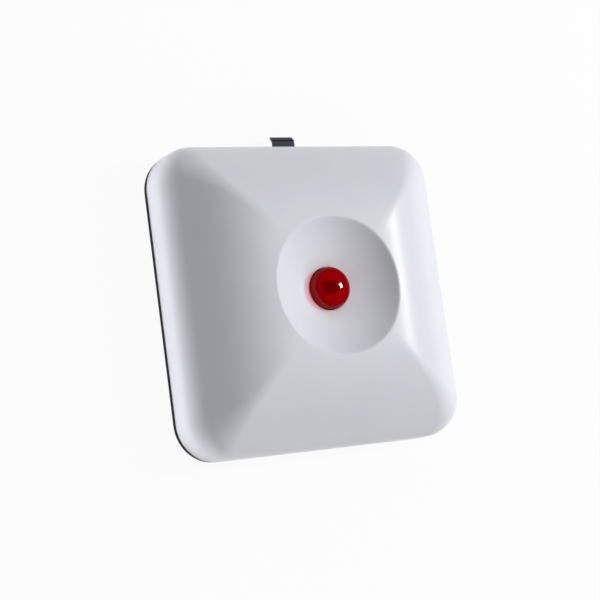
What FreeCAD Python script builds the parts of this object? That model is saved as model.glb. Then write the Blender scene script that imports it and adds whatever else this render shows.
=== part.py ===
import FreeCAD, Part
import math
import os

from FreeCAD import Rotation, Vector

# Remote indicator lamp for an alarm system, in millimetres.
# The back lies on z = 0, the lamp faces +Z, and +Y is up as the lamp hangs on its wall.
# The origin is the centre of the back face, behind the middle of the lens.

# Cover, outside form
COVER_SIDE = 82.0
COVER_DEPTH = 24.2
COVER_WALL = 2.2
COVER_DRAFT = math.radians(0.75)
CORNER_R = 10.5
RIDGE_R = 5.0
SHOULDER_R = 9.3
FACE_SLOPE = math.radians(28.5)
DISH_R = 18.4
DISH_DEPTH = 7.0
LAND_HALF = 18.0
CROWN_R = 8.0

# How far its hollows pass its open side and its top, and how many straight runs make the dish's back
CAVITY_OPEN = 1.0
DISH_OPEN = 0.3
DISH_FLATS = 3

# Snap ledges and latch notch of the cover
LEDGE_HEIGHT = 1.3
LEDGE_LEAD = 0.5
SNAP_GAP = 0.3
CATCH_WIDTH = 2.3
CATCH_GRIP = 0.9
NOTCH_GAP = 0.3

# Lens, its seat in the cover and its retaining ring
LENS_R = 5.6
LENS_RISE = 4.55
LENS_CAP = 3.1
LENS_WALL = 1.2
LENS_CONE = 1.9
LENS_CLEARANCE = 0.1
LENS_SEAT_DROP = 2.6
LENS_FLANGE_R = 8.0
LENS_FLANGE = 1.2
SEAT_CLEARANCE = 0.15
SEAT_WALL = 1.5
LENS_RING = 1.1
LENS_RING_WALL = 2.8

# Base tray
BASE_EDGE = 1.9
BASE_INSET = 0.15
UPSTAND = 3.3
UPSTAND_WALL = 1.6
UPSTAND_GAP = 0.3
BACK_RECESS = 0.7
BACK_BORDER = 4.0
BACK_RIB = 2.4
SCREW_CENTRES = 60.0
SCREW_SLOT_R = 2.15
SCREW_SLOT_LENGTH = 8.3
SLOT_PAD_WALL = 2.0
SLOT_PAD = 0.8
ENTRY_WIDTH = 22.0
ENTRY_HEIGHT = 10.0
ENTRY_R = 2.0
ENTRY_EDGE = 5.5

# Snap hooks of the base, at its lower side
HOOK_CENTRES = 40.0
HOOK_WIDTH = 8.0
HOOK_WALL = 1.4
HOOK_GRIP = 0.8
HOOK_REACH = 3.1
HOOK_NIB = 1.5
HOOK_NIB_EDGE = 0.5
HOOK_SIDE_GAP = 1.0

# Latch clip, a bent strip at the upper side
LATCH_WIDTH = 12.0
TONGUE_WIDTH = 6.7
STRIP = 0.6
TONGUE_FRONT = 5.0
TONGUE_OUT = 2.6
LIP = 1.4
LIP_ANGLE = math.radians(45)
LIP_BEND_R = 0.5
LATCH_BEND_R = 1.0
HAIRPIN_R = 1.4
HAIRPIN_HEADROOM = 1.3
LATCH_BACKSET = 2.8
SHOULDER_BACKSET = 0.5
LATCH_FOOT = 8.7
LATCH_SCREW_IN = 4.2

# Circuit board and its seats
BOARD_WIDTH = 44.0
BOARD_HEIGHT = 44.0
BOARD_DROP = 2.0
BOARD = 1.6
BOARD_CORNER_R = 1.5
STANDOFF_R = 2.6
STANDOFF_IN = 3.5
PEG_R = 1.1
PEG_RISE = 1.2
PILOT_FLOOR = 0.8
PILOT_TAIL = 0.4
SCREW_R = 1.0
SCREW_HEAD_R = 2.0
SCREW_HEAD = 1.5
SCREW_CROWN = 0.5
SCREW_POINT = 0.6
THREAD_GAP = 0.05
HOLE_GAP = 0.25

# Diode lamp and spacer
LED_R = 2.5
LED_LENGTH = 8.6
LED_FLANGE_R = 2.9
LED_FLANGE = 1.0
LED_PITCH = 2.54
LED_LEG = 0.5
LED_TIP_GAP = 1.9
SPACER = 2.0
LEG_TAIL = 1.4

# Resistors and diodes
PART_PITCH = 10.16
PART_LIFT = 0.1
WIRE_BEND_R = 0.8
WIRE_GAP = 0.15
RESISTOR_R = 1.15
RESISTOR_LENGTH = 6.3
RESISTOR_WIRE_R = 0.3
RESISTOR_WAIST = 0.2
RESISTOR_CAP = 1.3
RESISTOR_COUNT = 2
RESISTOR_SPACING = 20.0
DIODE_R = 1.35
DIODE_LENGTH = 5.2
DIODE_WIRE_R = 0.38
DIODE_COUNT = 4
DIODE_SPACING = 8.6
DIODE_EDGE = 8.0

# Screw terminal
WAYS = 4
WAY_PITCH = 5.0
TERMINAL_DEPTH = 8.0
TERMINAL_HEIGHT = 9.0
TERMINAL_END = 0.2
TERMINAL_EDGE = 1.0
TERMINAL_CHAMFER = 1.2
CAGE_WIDTH = 3.6
CAGE_DEPTH = 4.0
CAGE_HEIGHT = 4.2
CAGE_WALL = 0.6
CAGE_TOP = 0.9
CAGE_LIFT = 1.0
CAGE_GAP = 0.2
FRONT_WALL = 1.0
CLAMP_R = 1.05
CLAMP_HEAD_R = 1.75
CLAMP_HEAD = 1.8
CLAMP_NECK = 1.0
CLAMP_GAP = 0.12
DRIVE_SLOT = 0.5
DRIVE_DEPTH = 0.8
CONTACT = 0.8
CONTACT_WIDTH = 1.8
PIN_WIDTH = 1.0
WIRE_MOUTH_LIP = 0.2

# Heights and places that follow from the sizes above
HALF = COVER_SIDE / 2
INNER_HALF = HALF - COVER_WALL
DISH_BOTTOM = COVER_DEPTH - DISH_DEPTH
DISH_SPHERE_R = (DISH_R ** 2 + DISH_DEPTH ** 2) / (2 * DISH_DEPTH)
LENS_SEAT_Z = DISH_BOTTOM - LENS_SEAT_DROP
LENS_TOP = DISH_BOTTOM + LENS_RISE
LENS_FOOT_Z = LENS_SEAT_Z - LENS_FLANGE
LENS_RING_Z = LENS_FOOT_Z - LENS_RING
LED_TOP = LENS_TOP - LENS_WALL - LED_TIP_GAP
LED_FOOT = LED_TOP - LED_LENGTH
BOARD_TOP = LED_FOOT - SPACER
BOARD_UNDER = BOARD_TOP - BOARD
BOARD_LOW = -BOARD_HEIGHT / 2 - BOARD_DROP
BOARD_HIGH = BOARD_HEIGHT / 2 - BOARD_DROP
UPSTAND_HALF = INNER_HALF - UPSTAND_GAP
UPSTAND_TOP = BASE_EDGE + UPSTAND
LEDGE_EDGE = UPSTAND_HALF - HOOK_GRIP
HOOK_FACE = LEDGE_EDGE - SNAP_GAP
NIB_Z = BASE_EDGE + HOOK_REACH
PILOT_FOOT = BACK_RECESS + PILOT_FLOOR
SCREW_TIP = PILOT_FOOT + PILOT_TAIL
STRIP_MID = TONGUE_FRONT - STRIP / 2
STRIP_BACK = TONGUE_FRONT - STRIP
LATCH_DROP_Y = INNER_HALF - LATCH_BACKSET
LATCH_RISER_Y = LATCH_DROP_Y - 2 * HAIRPIN_R
LATCH_FOOT_END = LATCH_RISER_Y - LATCH_FOOT
LATCH_SCREW_Y = LATCH_FOOT_END + LATCH_SCREW_IN
SHOULDER_END = INNER_HALF - SHOULDER_BACKSET
CATCH_EDGE = SHOULDER_END - CATCH_GRIP
STANDOFFS_SCREWED = (
    (-BOARD_WIDTH / 2 + STANDOFF_IN, BOARD_HIGH - STANDOFF_IN),
    (BOARD_WIDTH / 2 - STANDOFF_IN, BOARD_LOW + STANDOFF_IN),
)
STANDOFFS_PEGGED = (
    (BOARD_WIDTH / 2 - STANDOFF_IN, BOARD_HIGH - STANDOFF_IN),
    (-BOARD_WIDTH / 2 + STANDOFF_IN, BOARD_LOW + STANDOFF_IN),
)
TERMINAL_FRONT = BOARD_LOW + TERMINAL_EDGE
CAGE_FRONT = TERMINAL_FRONT + FRONT_WALL + CAGE_GAP
CAGE_MIDDLE = CAGE_FRONT + CAGE_DEPTH / 2
PIN_Y = CAGE_FRONT + CAGE_DEPTH + CAGE_GAP + CONTACT / 2 + CAGE_GAP
CAGE_FOOT = BOARD_TOP + CAGE_LIFT
CAGE_HEAD = CAGE_FOOT + CAGE_HEIGHT
CONTACT_Z = CAGE_HEAD - CAGE_TOP - CLAMP_GAP
CLAMP_SEAT = CAGE_HEAD + CAGE_GAP + CLAMP_NECK
DIODE_Y = BOARD_HIGH - DIODE_EDGE


def box(x0, x1, y0, y1, z0, z1):
    return Part.makeBox(x1 - x0, y1 - y0, z1 - z0, Vector(x0, y0, z0))


def rod(radius, z0, z1, x=0, y=0):
    return Part.makeCylinder(radius, z1 - z0, Vector(x, y, z0))


def turned(edges):
    """Solid of revolution about the Z axis, from a closed outline in the XZ plane."""
    face = Part.Face(Part.Wire(edges))
    return face.revolve(Vector(0, 0, 0), Vector(0, 0, 1), 360)


def line(a, b):
    return Part.LineSegment(a, b).toShape()


def arc(a, middle, b):
    return Part.Arc(a, middle, b).toShape()


def polyline(points):
    """Closed outline of straight edges."""
    return [line(a, b) for a, b in zip(points, points[1:] + points[:1])]


def prism_x(outline_yz, x0, x1):
    """Straight bar along X with the given closed outline of (y, z) points."""
    points = [Vector(x0, y, z) for y, z in outline_yz]
    return Part.Face(Part.Wire(polyline(points))).extrude(Vector(x1 - x0, 0, 0))


def fused(shapes):
    return shapes[0].multiFuse(shapes[1:]).removeSplitter() if len(shapes) > 1 else shapes[0]


def arc_poles(a, b, turn):
    """Four poles of the flat cubic curve that stands for an arc from a to b with the given turn."""
    reach = (b - a) * (1 / (3 * math.cos(turn / 4) ** 2))
    leave = Rotation(Vector(0, 0, 1), math.degrees(-turn / 2)).multVec(reach)
    arrive = Rotation(Vector(0, 0, 1), math.degrees(turn / 2)).multVec(reach)
    return [a, a + leave, b - arrive, b]


def rounded_square(z, half, corner_r):
    """Poles of a level square outline: four straight sides, each followed by a round corner."""
    end = half - corner_r
    side = [Vector(half, -end, z), Vector(half, end, z)]
    corner = arc_poles(side[1], Vector(end, half, z), math.pi / 2)
    curves = []
    for quarter in range(4):
        spin = Rotation(Vector(0, 0, 1), 90 * quarter)
        curves.append([spin.multVec(pole) for pole in side])
        curves.append([spin.multVec(pole) for pole in corner])
    return curves


def patch(rows):
    """Face over rows of poles: flat between two straight rows, else one cubic or straight span each way."""
    across, along = len(rows), len(rows[0])
    if across == 2 and along == 2:
        return Part.Face(Part.makePolygon([rows[0][0], rows[0][1], rows[1][1], rows[1][0], rows[0][0]]))
    surface = Part.BSplineSurface()
    surface.buildFromPolesMultsKnots(
        rows, (across, across), (along, along), (0, 1), (0, 1), False, False, across - 1, along - 1
    )
    return surface.toShape()


def flat_cap(curves):
    """Flat face inside a closed outline."""
    edges = []
    for poles in curves:
        curve = Part.BezierCurve()
        curve.setPoles(poles)
        edges.append(curve.toShape())
    return Part.Face(Part.Wire(edges))


def skinned(bands):
    """Solid between flat ends whose sides are bands of smooth patches, each from two or four outlines."""
    faces = [flat_cap(bands[0][0]), flat_cap(bands[-1][-1])]
    for outlines in bands:
        faces += [patch([outline[k] for outline in outlines]) for k in range(8)]
    shell = Part.makeShell(faces)
    shell.sewShape()
    solid = Part.makeSolid(Part.Shell(shell.Faces))
    solid.fix(1e-6, 1e-6, 1e-6)
    return solid


def rounded_slot(length, radius, z0, z1, x, y):
    """Upright solid of an oval that runs along X."""
    reach = length / 2 - radius
    a, b = Vector(x - reach, y - radius, z0), Vector(x + reach, y - radius, z0)
    c, d = Vector(x + reach, y + radius, z0), Vector(x - reach, y + radius, z0)
    outline = [
        line(a, b),
        arc(b, Vector(x + length / 2, y, z0), c),
        line(c, d),
        arc(d, Vector(x - length / 2, y, z0), a),
    ]
    return Part.Face(Part.Wire(outline)).extrude(Vector(0, 0, z1 - z0))


def rounded_block(x0, x1, y0, y1, z0, z1, radius):
    """Block with its four upright edges rounded."""
    block = box(x0, x1, y0, y1, z0, z1)
    upright = [e for e in block.Edges if abs(e.tangentAt(e.FirstParameter).z) > 0.99]
    return block.makeFillet(radius, upright)


def plate(half, corner_r, z0, z1):
    """Square block about the middle with round corners."""
    return rounded_block(-half, half, -half, half, z0, z1, corner_r)


def rounded_path(points, radii):
    """Straight runs joined by tangent arcs, one radius for each inner point."""
    edges = []
    start = points[0]
    for before, corner, after, radius in zip(points, points[1:], points[2:], radii):
        back = (before - corner).normalize()
        ahead = (after - corner).normalize()
        half_angle = back.getAngle(ahead) / 2
        run = radius / math.tan(half_angle)
        middle = corner + (back + ahead).normalize() * (radius / math.sin(half_angle) - radius)
        arc_start, arc_end = corner + back * run, corner + ahead * run
        if (arc_start - start).Length > 1e-6:
            edges.append(line(start, arc_start))
        edges.append(arc(arc_start, middle, arc_end))
        start = arc_end
    edges.append(line(start, points[-1]))
    return edges


def shifted_path(points, radii, shift):
    """Points and radii of a path in the YZ plane, moved sideways by the given distance."""
    runs = [(b - a).normalize() for a, b in zip(points, points[1:])]
    normals = [Vector(0, -run.z, run.y) for run in runs]
    moved = [points[0] + normals[0] * shift]
    new_radii = []
    for corner, first, second, radius, run, next_run in zip(
        points[1:], normals, normals[1:], radii, runs, runs[1:]
    ):
        moved.append(corner + (first + second) * (shift / (1 + first.dot(second))))
        turn = 1 if run.cross(next_run).x > 0 else -1
        new_radii.append(radius - turn * shift)
    moved.append(points[-1] + normals[-1] * shift)
    return moved, new_radii


def bent_strip(points, radii, thickness, x0, x1):
    """Sheet strip across X whose middle follows a path in the YZ plane."""
    left_points, left_radii = shifted_path(points, radii, thickness / 2)
    right_points, right_radii = shifted_path(points, radii, -thickness / 2)
    edges = rounded_path(left_points, left_radii)
    edges += rounded_path(right_points, right_radii)
    edges.append(line(left_points[0], right_points[0]))
    edges.append(line(left_points[-1], right_points[-1]))
    face = Part.Face(Part.Wire(Part.__sortEdges__(edges)))
    strip = face.extrude(Vector(x1 - x0, 0, 0))
    strip.translate(Vector(x0, 0, 0))
    return strip


def eight_sided(radius, middle, along):
    """Closed eight-sided outline about a middle, square to a direction."""
    turn = Rotation(Vector(0, 0, 1), along)
    angles = [(k + 0.5) * math.pi / 4 for k in range(9)]
    return Part.makePolygon([
        middle + turn.multVec(Vector(math.cos(angle), math.sin(angle), 0)) * radius for angle in angles
    ])


def wire_along(points, bend, wire_r):
    """Thin wire along straight runs, eight-sided, with its bend cut across."""
    start, corner, end = points
    path = Part.makePolygon([
        start,
        corner + (start - corner).normalize() * bend,
        corner + (end - corner).normalize() * bend,
        end,
    ])
    return path.makePipeShell([eight_sided(wire_r, start, corner - start)], True, False, 1)


def lead_hole(radius, x, y):
    """Eight-sided solid through the circuit board."""
    outline = eight_sided(radius, Vector(x, y, BOARD_UNDER), Vector(0, 0, 1))
    return Part.Face(outline).extrude(Vector(0, 0, BOARD))


def crown_foot():
    """Place on the cover's profile, as half width and height, where a face starts to turn level."""
    return Vector(
        LAND_HALF + CROWN_R * math.sin(FACE_SLOPE), COVER_DEPTH - CROWN_R * (1 - math.cos(FACE_SLOPE)), 0
    )


def shoulder_place(angle):
    """Place on the shoulder arc where the normal has the given angle to the level.

    The arc touches the drafted wall and the sloping face.
    """
    draft, slope = math.tan(COVER_DRAFT), math.tan(FACE_SLOPE)
    touch = Vector(math.sin(FACE_SLOPE), math.cos(FACE_SLOPE), 0) * SHOULDER_R
    wall_reach = HALF + BASE_EDGE * draft - SHOULDER_R / math.cos(COVER_DRAFT)
    face_reach = crown_foot().y - touch.y + (crown_foot().x - touch.x) * slope
    centre_z = (face_reach - wall_reach * slope) / (1 - draft * slope)
    centre = Vector(wall_reach - centre_z * draft, centre_z, 0)
    return centre + Vector(math.cos(angle), math.sin(angle), 0) * SHOULDER_R


def outlines(places, corner_radii):
    """Rounded square outlines at places of a profile, each with its corner radius."""
    return [rounded_square(place.y, place.x, radius) for place, radius in zip(places, corner_radii)]


def cover_outside():
    """Square at the wall, skinned over a soft shoulder and four sloping faces up to a level land."""
    foot = Vector(HALF, BASE_EDGE, 0)
    wall_top = shoulder_place(COVER_DRAFT)
    shoulder_top = shoulder_place(math.pi / 2 - FACE_SLOPE)
    land = Vector(LAND_HALF, COVER_DEPTH, 0)
    shoulder = arc_poles(wall_top, shoulder_top, math.pi / 2 - FACE_SLOPE - COVER_DRAFT)
    crown = arc_poles(crown_foot(), land, FACE_SLOPE)
    return skinned([
        outlines((foot, wall_top), (CORNER_R, CORNER_R)),
        outlines(shoulder, (CORNER_R, CORNER_R, RIDGE_R, RIDGE_R)),
        outlines((shoulder_top, crown_foot()), (RIDGE_R, RIDGE_R)),
        outlines(crown, [RIDGE_R] * 4),
    ])


def inner_place(place, angle):
    """Place one wall thickness inside the skin, where the skin's normal has the given angle."""
    return place - Vector(math.cos(angle), math.sin(angle), 0) * COVER_WALL


def cover_cavity():
    """Inside of the shell below its ceiling, open at the wall side, straight from place to place."""
    face_angle = math.pi / 2 - FACE_SLOPE
    middle_angle = (COVER_DRAFT + face_angle) / 2
    foot = Vector(HALF + CAVITY_OPEN * math.tan(COVER_DRAFT), BASE_EDGE - CAVITY_OPEN, 0)
    places = [inner_place(foot, COVER_DRAFT)]
    places += [inner_place(shoulder_place(angle), angle) for angle in (COVER_DRAFT, middle_angle, face_angle)]
    places.append(inner_place(crown_foot(), face_angle))
    rings = outlines(places, [CORNER_R - COVER_WALL] * len(places))
    return skinned([[lower, upper] for lower, upper in zip(rings, rings[1:])])


def dish_arc(radius, share):
    """Point on a sphere about the dish's centre, at a share of the way from its bottom to the cover's top."""
    centre_z = DISH_BOTTOM + DISH_SPHERE_R
    angle = share * math.acos((centre_z - COVER_DEPTH - DISH_OPEN) / radius)
    return Vector(radius * math.sin(angle), 0, centre_z - radius * math.cos(angle))


def dish_body():
    """Lens-shaped solid that the dish is hollowed with."""
    bottom, middle, edge = [dish_arc(DISH_SPHERE_R, share) for share in (0, 0.5, 1)]
    top = Vector(0, 0, edge.z)
    return turned([arc(bottom, middle, edge), line(edge, top), line(top, bottom)])


def dish_under():
    """Solid one wall thickness larger, turned from straight runs, that the cavity leaves standing."""
    points = [dish_arc(DISH_SPHERE_R + COVER_WALL, k / DISH_FLATS) for k in range(DISH_FLATS + 1)]
    return turned(polyline(points + [Vector(0, 0, points[-1].z)]))


def hook_ledges():
    """Ledges inside the lower wall that sit under the nibs of the base's hooks."""
    top = NIB_Z - SNAP_GAP
    root = -INNER_HALF - COVER_WALL / 2
    outline = [
        (root, top - LEDGE_HEIGHT),
        (-LEDGE_EDGE - LEDGE_LEAD, top - LEDGE_HEIGHT),
        (-LEDGE_EDGE, top - LEDGE_HEIGHT + LEDGE_LEAD),
        (-LEDGE_EDGE, top),
        (root, top),
    ]
    return [
        prism_x(outline, x - HOOK_WIDTH / 2, x + HOOK_WIDTH / 2)
        for x in (-HOOK_CENTRES / 2, HOOK_CENTRES / 2)
    ]


def catch_ledges():
    """Ledges either side of the notch that the shoulders of the latch clip hold down."""
    top = STRIP_BACK - SNAP_GAP
    root = INNER_HALF + COVER_WALL / 2
    outline = [
        (root, top - LEDGE_HEIGHT),
        (CATCH_EDGE + LEDGE_LEAD, top - LEDGE_HEIGHT),
        (CATCH_EDGE, top - LEDGE_HEIGHT + LEDGE_LEAD),
        (CATCH_EDGE, top),
        (root, top),
    ]
    near = TONGUE_WIDTH / 2 + NOTCH_GAP
    far = near + CATCH_WIDTH
    return [prism_x(outline, near, far), prism_x(outline, -far, -near)]


def latch_notch():
    """Notch in the upper wall, open to the cover's edge, for the tongue of the latch clip."""
    half_width = TONGUE_WIDTH / 2 + NOTCH_GAP
    top = TONGUE_FRONT + NOTCH_GAP
    return box(-half_width, half_width, CATCH_EDGE, HALF + COVER_WALL, BASE_EDGE - CAVITY_OPEN, top)


def cover():
    shell = cover_outside().cut(cover_cavity().cut(dish_under()))
    seat_r = LENS_FLANGE_R + SEAT_CLEARANCE
    seat = rod(seat_r + SEAT_WALL, LENS_RING_Z, DISH_BOTTOM)
    shell = shell.fuse([seat] + hook_ledges() + catch_ledges())
    shell = shell.cut([dish_body(), rod(seat_r, LENS_RING_Z - SEAT_WALL, LENS_SEAT_Z)])
    shell = shell.cut([rod(LENS_R + LENS_CLEARANCE, LENS_SEAT_Z, COVER_DEPTH), latch_notch()])
    return shell.removeSplitter()


def cap_arc(radius, rise, top):
    """Arc over the axis of a dome with the given foot radius and rise, as end, middle and top points."""
    sphere_r = (radius ** 2 + rise ** 2) / (2 * rise)
    centre_z = top - sphere_r
    half_angle = math.asin(radius / sphere_r) / 2
    middle = Vector(sphere_r * math.sin(half_angle), 0, centre_z + sphere_r * math.cos(half_angle))
    return Vector(radius, 0, top - rise), middle, Vector(0, 0, top)


def lens():
    """Red dome, bored from behind to a chamfered end, with a flange that seats behind the dish."""
    bore = LENS_R - LENS_WALL
    shoulder, dome, top = cap_arc(LENS_R, LENS_CAP, LENS_TOP)
    inner_top = Vector(0, 0, LENS_TOP - LENS_WALL)
    inner_edge = Vector(bore - LENS_CONE, 0, inner_top.z)
    inner_shoulder = Vector(bore, 0, inner_top.z - LENS_CONE)
    foot = Vector(bore, 0, LENS_FOOT_Z)
    edge = Vector(LENS_FLANGE_R, 0, LENS_FOOT_Z)
    rim = Vector(LENS_FLANGE_R, 0, LENS_SEAT_Z)
    neck = Vector(LENS_R, 0, LENS_SEAT_Z)
    return turned([
        line(foot, edge),
        line(edge, rim),
        line(rim, neck),
        line(neck, shoulder),
        arc(shoulder, dome, top),
        line(top, inner_top),
        line(inner_top, inner_edge),
        line(inner_edge, inner_shoulder),
        line(inner_shoulder, foot),
    ])


def lens_ring():
    """Push-in ring that holds the lens flange against its seat."""
    bore = LENS_FLANGE_R - LENS_RING_WALL
    return rod(LENS_FLANGE_R, LENS_RING_Z, LENS_FOOT_Z).cut(rod(bore, LENS_RING_Z, LENS_FOOT_Z))


def snap_hook(x):
    """Upright finger of the base with an outward nib and a sloping head."""
    nib = -UPSTAND_HALF
    face = -HOOK_FACE
    outline = [
        (face + HOOK_WALL, BASE_EDGE),
        (face, BASE_EDGE),
        (face, NIB_Z),
        (nib, NIB_Z),
        (nib, NIB_Z + HOOK_NIB_EDGE),
        (face, NIB_Z + HOOK_NIB),
        (face + HOOK_WALL, NIB_Z + HOOK_NIB),
    ]
    return prism_x(outline, x - HOOK_WIDTH / 2, x + HOOK_WIDTH / 2)


def upstand():
    """Low wall that centres the cover, open where the hooks and the latch clip stand."""
    corner_r = CORNER_R - COVER_WALL - UPSTAND_GAP
    wall = plate(UPSTAND_HALF, corner_r, BASE_EDGE, UPSTAND_TOP)
    wall = wall.cut(plate(UPSTAND_HALF - UPSTAND_WALL, corner_r - UPSTAND_WALL, BASE_EDGE, UPSTAND_TOP))
    latch_gap = LATCH_WIDTH / 2 + HOOK_SIDE_GAP
    hook_gap = HOOK_WIDTH / 2 + HOOK_SIDE_GAP
    gaps = [box(-latch_gap, latch_gap, 0, HALF, BASE_EDGE, UPSTAND_TOP)]
    for x in (-HOOK_CENTRES / 2, HOOK_CENTRES / 2):
        gaps.append(box(x - hook_gap, x + hook_gap, -HALF, 0, BASE_EDGE, UPSTAND_TOP))
    return wall.cut(gaps)


def entry_box(margin, z0, z1):
    """Rounded opening for the wires, grown by a margin."""
    middle = -INNER_HALF + ENTRY_EDGE + ENTRY_HEIGHT / 2 - COVER_WALL
    across = ENTRY_WIDTH / 2 + margin
    up = ENTRY_HEIGHT / 2 + margin
    return rounded_block(-across, across, middle - up, middle + up, z0, z1, ENTRY_R + margin)


def back_recess():
    """Shallow pockets in the back between its border, its ribs and the edges of its openings."""
    border_r = CORNER_R - BASE_INSET - BACK_BORDER
    pocket = plate(HALF - BASE_INSET - BACK_BORDER, border_r, 0, BACK_RECESS)
    rib = BACK_RIB / 2
    pad_length, pad_r = SCREW_SLOT_LENGTH + 2 * SLOT_PAD_WALL, SCREW_SLOT_R + SLOT_PAD_WALL
    kept = [box(-HALF, HALF, -rib, rib, 0, BACK_RECESS), box(-rib, rib, 0, HALF, 0, BACK_RECESS)]
    kept += [
        rounded_slot(pad_length, pad_r, 0, BACK_RECESS, x, 0)
        for x in (-SCREW_CENTRES / 2, SCREW_CENTRES / 2)
    ]
    kept.append(entry_box(BACK_RIB, 0, BACK_RECESS))
    return pocket.cut(kept)


def base():
    """Moulded tray behind the cover: floor, upstand, hooks, pads, stand-offs and pegs."""
    floor = plate(HALF - BASE_INSET, CORNER_R - BASE_INSET, 0, BASE_EDGE)
    latch_half = LATCH_WIDTH / 2
    solids = [floor, upstand()]
    solids += [snap_hook(x) for x in (-HOOK_CENTRES / 2, HOOK_CENTRES / 2)]
    solids.append(
        box(-latch_half, latch_half, LATCH_FOOT_END, LATCH_RISER_Y - LATCH_BEND_R, BASE_EDGE, STRIP_BACK)
    )
    slot_holes = []
    pad_top = BASE_EDGE + SLOT_PAD
    pad_length = SCREW_SLOT_LENGTH + 2 * SLOT_PAD_WALL
    for x in (-SCREW_CENTRES / 2, SCREW_CENTRES / 2):
        solids.append(rounded_slot(pad_length, SCREW_SLOT_R + SLOT_PAD_WALL, BASE_EDGE, pad_top, x, 0))
        slot_holes.append(rounded_slot(SCREW_SLOT_LENGTH, SCREW_SLOT_R, 0, pad_top, x, 0))
    solids += [rod(STANDOFF_R, BASE_EDGE, BOARD_UNDER, x, y) for x, y in STANDOFFS_SCREWED + STANDOFFS_PEGGED]
    solids += [rod(PEG_R, BOARD_UNDER, BOARD_UNDER + PEG_RISE, x, y) for x, y in STANDOFFS_PEGGED]
    pilot_r = SCREW_R + THREAD_GAP
    pilots = [rod(pilot_r, PILOT_FOOT, BOARD_UNDER, x, y) for x, y in STANDOFFS_SCREWED]
    pilots.append(rod(pilot_r, PILOT_FOOT, STRIP_BACK, 0, LATCH_SCREW_Y))
    tray = fused(solids).cut(slot_holes + pilots + [entry_box(0, 0, BASE_EDGE), back_recess()])
    return tray.removeSplitter()


def hairpin_top():
    """Height of the middle of the strip at the top of its hairpin, under the cover's inner shoulder."""
    corner = inner_place(shoulder_place(math.pi / 2 - FACE_SLOPE), math.pi / 2 - FACE_SLOPE)
    wall_top = inner_place(shoulder_place(COVER_DRAFT), COVER_DRAFT)
    reach = (wall_top.x - LATCH_DROP_Y - STRIP / 2) / (wall_top.x - corner.x)
    return wall_top.y + reach * (corner.y - wall_top.y) - HAIRPIN_HEADROOM - STRIP / 2


def latch_clip():
    """Bent strip: foot, hairpin spring, shoulders that hold the cover down, tongue and lip."""
    top = hairpin_top()
    tongue_end = HALF + TONGUE_OUT
    points = [
        Vector(0, LATCH_FOOT_END, STRIP_MID),
        Vector(0, LATCH_RISER_Y, STRIP_MID),
        Vector(0, LATCH_RISER_Y, top),
        Vector(0, LATCH_DROP_Y, top),
        Vector(0, LATCH_DROP_Y, STRIP_MID),
        Vector(0, tongue_end, STRIP_MID),
        Vector(0, tongue_end + LIP * math.cos(LIP_ANGLE), STRIP_MID - LIP * math.sin(LIP_ANGLE)),
    ]
    radii = [LATCH_BEND_R, HAIRPIN_R, HAIRPIN_R, LATCH_BEND_R, LIP_BEND_R]
    strip = bent_strip(points, radii, STRIP, -LATCH_WIDTH / 2, LATCH_WIDTH / 2)
    side_cuts = [
        box(TONGUE_WIDTH / 2, LATCH_WIDTH, SHOULDER_END, HALF + LATCH_WIDTH, 0, TONGUE_FRONT),
        box(-LATCH_WIDTH, -TONGUE_WIDTH / 2, SHOULDER_END, HALF + LATCH_WIDTH, 0, TONGUE_FRONT),
    ]
    hole = rod(SCREW_R + HOLE_GAP, STRIP_BACK, TONGUE_FRONT, 0, LATCH_SCREW_Y)
    return strip.cut(side_cuts + [hole])


def tapping_screw(seat_z, x, y):
    """Pan-head screw with a crossed drive and a blunt point; its thread is left out."""
    head_top = seat_z + SCREW_HEAD
    outline = [
        Vector(0, 0, SCREW_TIP),
        Vector(SCREW_R / 2, 0, SCREW_TIP),
        Vector(SCREW_R, 0, SCREW_TIP + SCREW_POINT),
        Vector(SCREW_R, 0, seat_z),
        Vector(SCREW_HEAD_R, 0, seat_z),
        Vector(SCREW_HEAD_R, 0, head_top - SCREW_CROWN),
        Vector(SCREW_HEAD_R - SCREW_CROWN, 0, head_top),
        Vector(0, 0, head_top),
    ]
    screw = turned(polyline(outline))
    reach, side = SCREW_HEAD_R / 2, DRIVE_SLOT / 2
    for across, up in ((reach, side), (side, reach)):
        screw = screw.cut(box(-across, across, -up, up, head_top - DRIVE_DEPTH, head_top))
    screw.translate(Vector(x, y, 0))
    return screw


def component_rows():
    """Places of the two-legged parts: their middles as (x, y) for resistors and for diodes."""
    first = -(RESISTOR_COUNT - 1) / 2
    resistors = [((first + i) * RESISTOR_SPACING, 0) for i in range(RESISTOR_COUNT)]
    first = -(DIODE_COUNT - 1) / 2
    diodes = [((first + i) * DIODE_SPACING, DIODE_Y) for i in range(DIODE_COUNT)]
    return resistors, diodes


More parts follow.
